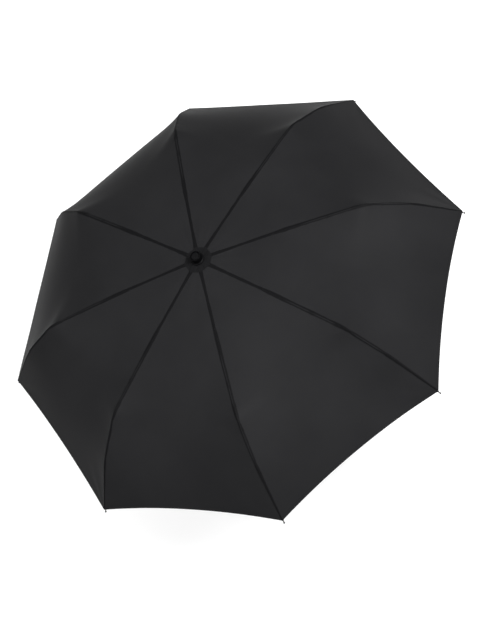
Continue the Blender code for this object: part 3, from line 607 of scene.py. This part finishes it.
def shell_from(name, grids, finish, lift=0.0):
    """A thin closed sheet: the outside, the inside one cloth thickness below it, and a narrow
    strip round every edge.  grids is a list of (gore, u, v) patches.  Its flat map runs across
    from the nearest rib, negative on one side of it, and along the rib."""
    points, quads, normals, cut, hem = [], [], [], [], []
    start = 0
    for gore, u, v in grids:
        rows, columns = u.shape
        count = rows * columns
        normal = cloth_normal(gore, u, v)
        outside = cloth_point(gore, u, v) + lift * normal
        out, side, _ = gore_point(u, v)
        rib_s = RIB_HOLE + u * (CANOPY_ARC - RIB_HOLE)
        from_rib = np.hypot(out, side) * HALF * (1.0 - np.abs(v))
        inside = outside - CLOTH * normal
        flip = v[0, -1] < 0
        face = grid_faces(rows, columns, start, flip)
        back = grid_faces(rows, columns, start + count, not flip)
        index = np.arange(count).reshape(rows, columns)
        rim = np.concatenate([index[0, :-1], index[:-1, -1], index[-1, :0:-1], index[:0:-1, 0]])
        after = np.roll(rim, -1)
        strip = np.stack([rim, rim + count, after + count, after], axis=-1) + start
        if not flip:
            strip = strip[:, ::-1]
        both = np.concatenate([outside.reshape(-1, 3), inside.reshape(-1, 3)])
        local = both[strip - start]
        strip_normal = np.cross(local[:, 1] - local[:, 0], local[:, 3] - local[:, 0])
        strip_normal /= np.maximum(np.linalg.norm(strip_normal, axis=1, keepdims=True), 1e-12)
        flat = normal.reshape(-1, 3)
        points.append(both)
        quads += [face, back, strip]
        normals += [flat[face - start].reshape(-1, 3), -flat[back - start - count].reshape(-1, 3),
                    np.repeat(strip_normal, 4, axis=0)]
        place = np.stack([from_rib * np.sign(v.mean()), rib_s], axis=-1)
        cut += [np.tile(place.reshape(-1, 2), (2, 1))]
        hem += [np.tile(np.broadcast_to(from_hem(u), u.shape).reshape(-1), 2)]
        start += 2 * count
    points, quads = np.concatenate(points), np.concatenate(quads)
    mesh = mesh_from(name, points, quads)
    set_point_values(mesh, "from_hem", np.concatenate(hem))
    layer = mesh.uv_layers.new(name="cut")
    layer.data.foreach_set("uv", np.concatenate(cut)[quads.ravel()].astype(np.float32).ravel())
    mesh.normals_split_custom_set(np.concatenate(normals).astype(np.float32))
    return piece_from(name, mesh, finish)


def cloth_area(grids):
    """Area of the outside of some patches, from the cross products of their cells."""
    total = 0.0
    for gore, u, v in grids:
        at = cloth_point(gore, u, v)
        one, two = at[1:, 1:] - at[:-1, :-1], at[1:, :-1] - at[:-1, 1:]
        total += float(np.linalg.norm(np.cross(one, two), axis=-1).sum()) / 2
    return total


def rib_axes(k, slope):
    """Across and square-to-the-rib directions of rib k where its slope is that much."""
    turn = 2 * math.pi * k / RIBS
    across = Vector((-math.sin(turn), math.cos(turn), 0.0))
    square = Vector((math.sin(slope) * math.cos(turn), math.sin(slope) * math.sin(turn),
                     math.cos(slope)))
    return across, square


def fold_axis(k, grids, slope):
    """Direction from the rib towards the middle of the gore, square to the rib."""
    across, square = rib_axes(k, slope)
    gore, u, v = grids[0]
    points = cloth_point(gore, u, v)
    reach = Vector(points[:, 0].mean(axis=0) - points[:, -1].mean(axis=0))
    lean = reach.dot(across), reach.dot(square)
    return (across * lean[0] + square * lean[1]).normalized()


PATCH_R = 0.0298                             # patch at its corners
PATCH_LIFT = 0.00078                         # patch above the canopy


def hang_cloth(name, grids, body, joint, patch=False):
    """One sheet of canopy or patch cloth that rides on part k of the frame.  The flat size
    stated is no cut size: it is the level reach across and along rib k, with a little room over
    the area.  Along the curve the cloth is longer than its level reach across and along rib k,
    on the outer sheets by a third."""
    piece = shell_from(name, grids, PATCH_CLOTH if patch else PONGEE, PATCH_LIFT * patch)
    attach(piece, body)
    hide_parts("crown_rosette" if patch else "canopy")
    area = cloth_area(grids)
    points = np.concatenate([cloth_point(*grid).reshape(-1, 3) for grid in grids])
    if joint:
        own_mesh(piece)
    return piece


def rib_sides(k):
    """The two half gores that meet on rib k: the gore and which of its halves."""
    return (k, -1.0), ((k - 1) % RIBS, 1.0)


def canopy():
    """Eight gores sewn edge to edge.  The cloth over each hinge span rides on that part of the rib,
    so the canopy folds in three as the ribs do."""
    corner = rib_line(CANOPY_ARC)
    slopes = {"middle": math.radians(RIB_SLOPES[1]),
              "outer": math.atan2(KNEE[1] - corner[1], corner[0] - KNEE[0])}
    grids = [(gore, *half_gore(gore, sign, "centre"))
             for gore in range(RIBS) for sign in (-1.0, 1.0)]
    hang_cloth("centre_cloth", grids, "upper_tube", None)
    for k in range(RIBS):
        sides = rib_sides(k)
        grids = [(gore, *half_gore(gore, sign, "inner")) for gore, sign in sides]
        hang_cloth(f"crown_cloth_{k + 1}", grids, f"upper_rib_{k + 1}", f"rib_fold_{k + 1}")
        for part, body, joint, at in (("middle", "middle_rib", "elbow_fold", ELBOW),
                                      ("outer", "outer_rib", "knee_fold", KNEE)):
            for side_name, (gore, sign) in zip(("left", "right"), sides):
                grids = [(gore, *half_gore(gore, sign, part))]
                axis = fold_axis(k, grids, slopes[part])
                hang_cloth(f"{part}_cloth_{k + 1}_{side_name}", grids, f"{body}_{k + 1}",
                           f"{joint}_{k + 1}")


# ---------------------------------------------------------------- crown, tips and shaft
def fitting(name, mesh, finish, body, part, *replaced):
    """One fitting that rides on a body and stands for its plain solid."""
    piece = piece_from(name, mesh, finish)
    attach(piece, body)
    if replaced:
        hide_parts(*replaced)
    return piece


def patch_outline(v):
    """Radius of the crown patch across a gore: eight-sided, drawn out into the seams."""
    return PATCH_R * (0.88 + 0.12 * np.abs(v) ** 3)


def patch_grid(gore, sign, outer):
    """Grid of u and v over half a gore of the patch: within the crown pivots or beyond them."""
    cells = 12
    across = np.linspace(0.0, 1.0, cells + 1)
    span = (CANOPY_ARC - RIB_HOLE) - (CANOPY_ARC - GORE_ARC) * (1.0 - across ** 2)
    edge = (patch_outline(across) - APEX_HOLE_R) / span
    pivot = border_share(across, CROWN_PIVOT[0])
    first, last = (pivot, edge) if outer else (np.zeros(cells + 1), pivot)
    t = np.linspace(0.0, 1.0, cells + 1)[:, None]
    u = first[None, :] + t * (last - first)[None, :]
    return gore, u, np.broadcast_to(across * sign, u.shape)


def crown_patch():
    """Cloth washer under the cap, on top of the canopy: a middle ring, and eight sectors that
    fold down with the ribs."""
    grids = [patch_grid(gore, sign, False) for gore in range(RIBS) for sign in (-1.0, 1.0)]
    hang_cloth("patch_centre", grids, "upper_tube", None, True)
    for k in range(RIBS):
        grids = [patch_grid(gore, sign, True) for gore, sign in rib_sides(k)]
        hang_cloth(f"patch_sector_{k + 1}", grids, f"upper_rib_{k + 1}", f"rib_fold_{k + 1}",
                   True)


def cap():
    """Moulded cap: a rolled rim round a moat, a straight side and a brim that spreads onto the
    patch; inside the moat a flat matt disc, whose lighter black is painted light on the flat top."""
    top = APEX_Z + CAP_TOP
    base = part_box("ferrule_cap")[0].z
    profile = [(0.0, top - 0.0034), (0.0088, top - 0.0034), (0.0093, top - 0.0008),
               (0.0099, top), (CAP_R - 0.0004, top - 0.0001), (CAP_R, top - 0.0010),
               (CAP_R, base + 0.0052), (CAP_R + 0.0003, base + 0.0032),
               (CAP_BRIM_R, base + 0.0020), (CAP_BRIM_R, base + 0.0004),
               (CAP_BRIM_R - 0.0004, base), (0.0053, base), (0.0053, base + 0.0100),
               (0.0, base + 0.0100)]
    mesh = revolved("ferrule_cap_finished", rounded(profile, 0.0006), 96, crease=40)
    fitting("ferrule_cap_finished", mesh, ABS, "upper_tube", "black_plastic", "ferrule_cap")
    profile = [(0.0, top - 0.0009), (0.0070, top - 0.0010), (0.0077, top - 0.0016),
               (0.0078, top - 0.0034), (0.0, top - 0.0034)]
    mesh = revolved("ferrule_cap_disc", rounded(profile, 0.0005), 96, crease=40)
    fitting("ferrule_cap_disc", mesh, MATT_ABS_PAINTED_LIGHT, "upper_tube", "black_plastic", "ferrule_cap")


def rib_tips():
    """Moulded rib tip: a cup over the rod with a groove to sew to, a slim neck, a round end."""
    tip_r, ball_r, out = 0.0023, 0.0017, 0.009
    ball = [(ball_r * math.sin(a), out - ball_r * (1 - math.cos(a)))
            for a in np.linspace(0.0, 0.85 * math.pi, 10)]
    profile = ball + [(0.00095, out - 0.0042), (0.00110, 0.0030), (0.0018, 0.0012), (tip_r, 0.0),
                      (tip_r, -0.0022), (tip_r - 0.0004, -0.0026), (tip_r - 0.0004, -0.0034),
                      (tip_r, -0.0038), (tip_r, -0.0062), (tip_r - 0.0002, -0.0108),
                      (ROD_R + 0.0003, -0.011), (ROD_R + 0.0003, -0.0024), (0.0, -0.0024)]
    radius, height = rib_line(CANOPY_ARC, RIB_DEPTH + ROD_R)
    tilt = math.pi / 2 + float(RIB_CURVE[3][-1])
    for k in range(RIBS):
        turn = 2 * math.pi * k / RIBS
        place = (Matrix.Translation((radius * math.cos(turn), radius * math.sin(turn), height))
                 @ Matrix.Rotation(turn, 4, "Z") @ Matrix.Rotation(tilt, 4, "Y"))
        mesh = revolved("tip", profile, 24, place, 50)
        fitting(f"moulded_tip_{k + 1}", mesh, ABS, f"outer_rib_{k + 1}", "black_plastic",
                f"rib_tip_{k + 1}")


def tube_piece(node, body, finish, part):
    """Drawn tube with its ends rolled in and a shallow groove near the top."""
    low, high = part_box(node)
    radius, wall = high.x, 0.0007
    inner = radius - wall
    top, bottom = high.z, low.z
    groove = [(radius - 0.00018 * math.exp(-((t - 0.5) * 6) ** 2), top - 0.010 - 0.006 * t)
              for t in np.linspace(0.0, 1.0, 9)]
    profile = ([(inner, top), (radius - 0.0003, top), (radius, top - 0.0004)] + groove
               + [(radius, bottom + 0.0004), (radius - 0.0003, bottom), (inner, bottom),
                  (inner, top)])
    mesh = revolved(f"{node}_drawn", profile, 64, crease=35)
    fitting(f"{node}_drawn", mesh, finish, body, part, node)


def handle_pieces():
    """Soft-touch grip with a slim waist and fine grooves at both ends, a flat end cap with a
    shallow dish, and a moulded collar round the tube."""
    low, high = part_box("handle_grip")
    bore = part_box("lower_tube")[1].x + 0.0003
    end_r, waist_r = 0.0160, 0.0145
    top, base = high.z, low.z
    span = top - base
    side = []
    for t in np.linspace(0.0, 1.0, 60):
        radius = end_r + (waist_r - end_r) * math.sin(math.pi * t) ** 2
        for ring in (0.085, 0.115, 0.885, 0.915):
            radius -= 0.00040 * math.exp(-((t - ring) / 0.0075) ** 2)
        side.append((radius, top - 0.002 - (span - 0.004) * t))
    recess_r, recess_top = 0.0103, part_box("lower_tube")[0].z
    profile = ([(bore, top), (0.0152, top), (0.0157, top - 0.0006)] + side
               + [(0.0157, base + 0.0006), (0.0152, base), (recess_r, base),
                  (recess_r, recess_top), (bore, recess_top), (bore, top)])
    mesh = revolved("grip_finished", profile, 96, crease=40)
    fitting("grip_finished", mesh, SOFT_TOUCH, "handle", "soft_grip", "handle_grip")
    cap_low, cap_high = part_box("handle_end_cap")
    end_r = cap_high.x
    face = cap_high.z - 0.003
    profile = [(0.0, 0.0012), (0.0092, 0.0012), (0.0104, 0.0004), (0.0110, 0.0),
               (end_r - 0.0010, 0.0), (end_r - 0.0003, 0.0003), (end_r, 0.0010), (end_r, face),
               (0.010, face), (0.010, cap_high.z), (0.0, cap_high.z)]
    mesh = revolved("end_cap_finished", rounded(profile, 0.0005), 96, crease=40)
    fitting("end_cap_finished", mesh, ABS, "handle", "black_plastic", "handle_end_cap")
    low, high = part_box("handle_collar")
    outer = high.x
    profile = [(bore, high.z), (0.0100, high.z), (0.0114, high.z - 0.0009),
               (0.0128, high.z - 0.0026), (outer, low.z + 0.0010), (outer, low.z), (bore, low.z),
               (bore, high.z)]
    mesh = revolved("collar_finished", rounded(profile, 0.0005), 96, crease=40)
    fitting("collar_finished", mesh, ABS, "handle", "black_plastic", "handle_collar")


# ---------------------------------------------------------------- ties and wires
def rib_place(k, s, depth):
    """Matrix at arc s on rib k, that far under the cloth: X along, Y across, Z square to it."""
    radius, height = rib_line(s, depth)
    slope = float(np.interp(s, RIB_CURVE[0], RIB_CURVE[3]))
    turn = 2 * math.pi * k / RIBS
    return (Matrix.Translation((radius * math.cos(turn), radius * math.sin(turn), height))
            @ Matrix.Rotation(turn, 4, "Z") @ Matrix.Rotation(slope, 4, "Y"))


ROD_ARC = 0.334                              # ties past here are on the outer rib's rod
TIE_GAP = 0.00045                            # middle of the thread to the rib's side
WIRE_R = 0.0006


def body_at(s, k):
    """Body that carries rib k at arc s."""
    if s < RIB_BENDS[0][0]:
        return f"upper_rib_{k + 1}"
    return f"middle_rib_{k + 1}" if s < ROD_ARC else f"outer_rib_{k + 1}"


def thread_ties():
    """Thread whipped round each rib where the cloth is tied to it: a rounded rectangle in
    section, wound three and a half times, its top against the cloth."""
    turns, thread_r, lay = 3.5, 0.00028, 2.1     # lay: thread radii from one turn to the next
    t = np.linspace(0.0, turns * 2 * math.pi, 100)
    for s in TIES:
        channel = s < ROD_ARC
        half_w = (CHANNEL_W / 2 if channel else ROD_R) + TIE_GAP
        top = -CLOTH - thread_r
        bottom = -RIB_DEPTH - (CHANNEL_H if channel else 2 * ROD_R) - TIE_GAP
        middle, half_h = (top + bottom) / 2, (top - bottom) / 2
        squareness = np.maximum(np.abs(np.cos(t)), np.abs(np.sin(t))) ** 0.8
        path = np.stack([(t / (2 * math.pi) - turns / 2) * lay * thread_r,
                         half_w * np.cos(t) / squareness, middle + half_h * np.sin(t) / squareness],
                        axis=-1)
        for k in range(RIBS):
            mesh = swept("tie", path, thread_r, 6)
            mesh.transform(rib_place(k, s, 0.0))
            fitting(f"thread_tie_{k + 1}_{round(1000 * s)}", mesh, THREAD, body_at(s, k),
                    "canopy_cloth")


def control_wires():
    """Bright wire that runs under each middle rib from the elbow's fork to the knee, its ends
    bent up towards the rib."""
    from_elbow, middle_rib, from_knee = 0.010, 0.165, 0.014
    start, end = RIB_BENDS[0][0] + from_elbow, RIB_BENDS[0][0] + middle_rib - from_knee
    drop = RIB_DEPTH + CHANNEL_H + 2 * WIRE_R
    s = np.linspace(start, end, 24)
    rise = 0.0022 * (np.exp(-((s - start) / 0.004) ** 2) + np.exp(-((s - end) / 0.004) ** 2))
    radius, height = rib_line(s, drop - rise)
    for k in range(RIBS):
        turn = 2 * math.pi * k / RIBS
        path = np.stack([radius * math.cos(turn), radius * math.sin(turn), height], axis=-1)
        mesh = swept("wire", path, WIRE_R, 10)
        fitting(f"control_wire_{k + 1}", mesh, NICKEL, f"middle_rib_{k + 1}", "plated_steel")


# ---------------------------------------------------------------- studio
FLOOR_GLOW, ROOM_GLOW = 0.60, 0.50
LAMPS_AIM = Vector((0.0, 0.0, 0.5))


def direction(bearing, height):
    """Unit vector towards a bearing and a height, both in degrees."""
    bearing, height = math.radians(bearing), math.radians(height)
    return Vector((math.cos(bearing) * math.cos(height), math.sin(bearing) * math.cos(height),
                   math.sin(height)))


def studio():
    """Pale floor under the handle and a dim even room, so that a bright floor rims the cloth
    and the light from the right shapes it."""
    half = 14.0
    mesh = mesh_from("studio_floor", [(-half, -half, 0), (half, -half, 0), (half, half, 0),
                                      (-half, half, 0)], [(0, 1, 2, 3)])
    finish, _, shader = new_finish("matt_white_paper", Roughness=0.9)
    shader.inputs["Base Color"].default_value = linear("bcbcbc")
    shader.inputs["Emission Color"].default_value = linear("ffffff")
    shader.inputs["Emission Strength"].default_value = FLOOR_GLOW
    floor = piece_from("studio_floor", mesh, finish)
    world = bpy.data.worlds.new("white_room")
    bpy.context.scene.world = world
    world.use_nodes = True
    room = world.node_tree.nodes["Background"]
    room.inputs["Color"].default_value = linear("ffffff")
    room.inputs["Strength"].default_value = ROOM_GLOW


def softbox(name, bearing, height, power, size=1.5, reach=3.0):
    """Round softbox aimed at the canopy from a bearing and height in degrees."""
    light = bpy.data.lights.new(name, "AREA")
    light.shape = "DISK"
    light.size = size
    light.energy = power
    lamp = bpy.data.objects.new(name, light)
    bpy.context.scene.collection.objects.link(lamp)
    back = direction(bearing, height)
    lamp.matrix_world = (Matrix.Translation(back * reach + LAMPS_AIM)
                         @ back.to_track_quat("Z", "Y").to_matrix().to_4x4())


def camera():
    """Long lens from above and one side, looking down at 56 degrees and rolled clockwise."""
    bearing, height, roll, reach = 294.52, 56.433, 41.513, 3.0253
    aim = Vector((0.0406, -0.1002, APEX_Z - 0.0717))
    lens = bpy.data.cameras.new("long_lens")
    lens.lens = 92.18
    lens.sensor_width = 36.0
    lens.clip_end = 50.0
    shot = bpy.data.objects.new("long_lens", lens)
    bpy.context.scene.collection.objects.link(shot)
    back = direction(bearing, height)
    shot.matrix_world = (Matrix.Translation(aim + back * reach)
                         @ back.to_track_quat("Z", "Y").to_matrix().to_4x4()
                         @ Matrix.Rotation(math.radians(-roll), 4, "Z"))
    bpy.context.scene.camera = shot


camera()
studio()
softbox("softbox_right", 335.0, 49.0, 158.0)
softbox("softbox_left", 202.0, 50.0, 42.0)
softbox("softbox_above", 0.0, 88.0, 24.0)
canopy()
crown_patch()
cap()
rib_tips()
tube_piece("upper_tube", "upper_tube", ENAMEL, "black_steel")
tube_piece("middle_tube", "middle_tube", NICKEL, "plated_steel")
tube_piece("lower_tube", "handle", NICKEL, "plated_steel")
handle_pieces()
thread_ties()
control_wires()

FINISH_OF = {"black_steel": ENAMEL, "black_plastic": ABS, "soft_grip": SOFT_TOUCH,
             "plated_steel": NICKEL, "canopy_cloth": PONGEE}
SLOT_OF = {node: part for part, nodes in {
    "black_steel": ("upper_rib", "stretcher", "middle_rib", "outer_rib", "upper_tube"),
    "black_plastic": ("crown", "runner", "runner_button", "ferrule_cap", "handle_end_cap",
                      "handle_collar"),
    "soft_grip": ("handle_grip",),
    "plated_steel": ("rib_tip", "crown_wire", "runner_wire", "middle_tube", "lower_tube"),
    "canopy_cloth": ("canopy", "crown_rosette")}.items() for node in nodes}
for node, thing in frame["nodes"].items():
    kind = node.rstrip("0123456789").rstrip("_")
    finish = FINISH_OF[SLOT_OF[kind]]
    thing.data.materials.clear()
    thing.data.materials.append(finish)

bpy.context.scene.view_settings.view_transform = "Standard"
